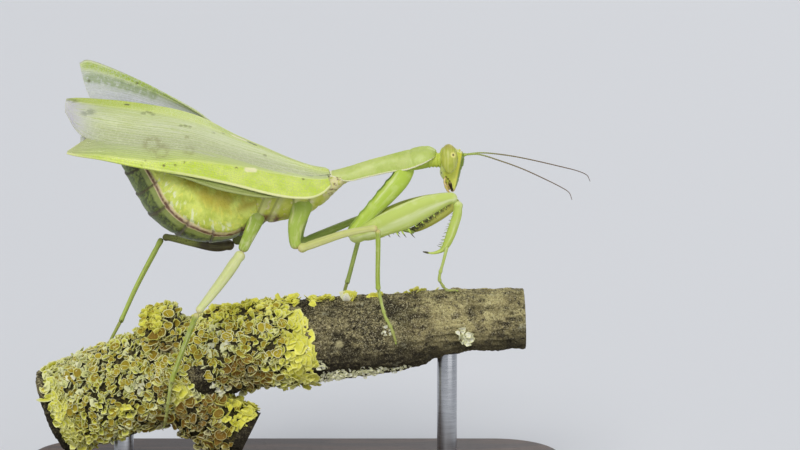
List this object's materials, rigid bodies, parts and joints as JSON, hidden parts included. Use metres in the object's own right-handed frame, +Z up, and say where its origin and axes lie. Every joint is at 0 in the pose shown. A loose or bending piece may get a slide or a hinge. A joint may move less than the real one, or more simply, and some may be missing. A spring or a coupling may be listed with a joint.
{
  "type": "praying mantis",
  "caption": "Green female praying mantis with a swollen abdomen and parted wings, walking along a lichened branch held by rods on a flat display base.",
  "frame": {"origin": "centre of the display stand's flat underside", "axes": "+X the way the mantis faces and walks along the branch, +Y to her left, +Z up"},
  "size_m": [0.117, 0.066, 0.0921],
  "materials": {
    "cuticle_green": "waxy insect cuticle, grass green with a paler edge",
    "body_pale": "softer pale green body skin under the pronotum and at the thorax",
    "abdomen": "yellow-green segments, green below, with fine pale specks",
    "forewing": "leathery green wing with a cream rim, fine veins and a cream mark",
    "hindwing": "glassy net-veined membrane with a green front edge",
    "eye": "smooth olive compound eye with a small dark pseudopupil",
    "mouthparts": "pale yellow and peach",
    "antenna": "thread-like, green at the base and brown beyond",
    "branch": "rough brown-grey bark with crusts and lobes of yellow-green lichen",
    "stand_base": "dark stained wood, satin",
    "stand_rod": "satin steel"
  },
  "bodies": {
    "root": {"stand_base": "stand_base", "stand_rod_left": "stand_rod", "stand_rod_right": "stand_rod", "perch_branch": "branch", "pronotum": "cuticle_green", "forebody": "body_pale", "thorax": "body_pale", "abdomen_1": "abdomen", "abdomen_2": "abdomen", "abdomen_3": "abdomen", "abdomen_4": "abdomen", "abdomen_5": "abdomen", "abdomen_6": "abdomen", "abdomen_7": "abdomen", "cercus_left": "abdomen", "cercus_right": "abdomen", "head": "cuticle_green", "eye_left": "eye", "eye_right": "eye", "antenna_left": "antenna", "antenna_right": "antenna", "mouthparts": "mouthparts", "neck": "body_pale", "forewing_left": "forewing", "forewing_right": "forewing", "hindwing_left": "hindwing", "hindwing_right": "hindwing", "foreleg_left_coxa": "cuticle_green", "foreleg_left_femur": "cuticle_green", "foreleg_left_tibia": "cuticle_green", "foreleg_left_tarsus": "cuticle_green", "foreleg_right_coxa": "cuticle_green", "foreleg_right_femur": "cuticle_green", "foreleg_right_tibia": "cuticle_green", "foreleg_right_tarsus": "cuticle_green", "midleg_left_coxa": "cuticle_green", "midleg_left_femur": "cuticle_green", "midleg_left_tibia": "cuticle_green", "midleg_left_tarsus": "cuticle_green", "midleg_right_coxa": "cuticle_green", "midleg_right_femur": "cuticle_green", "midleg_right_tibia": "cuticle_green", "midleg_right_tarsus": "cuticle_green", "hindleg_left_coxa": "cuticle_green", "hindleg_left_femur": "cuticle_green", "hindleg_left_tibia": "cuticle_green", "hindleg_left_tarsus": "cuticle_green", "hindleg_right_coxa": "cuticle_green", "hindleg_right_femur": "cuticle_green", "hindleg_right_tibia": "cuticle_green", "hindleg_right_tarsus": "cuticle_green"}
  },
  "joints": []
}
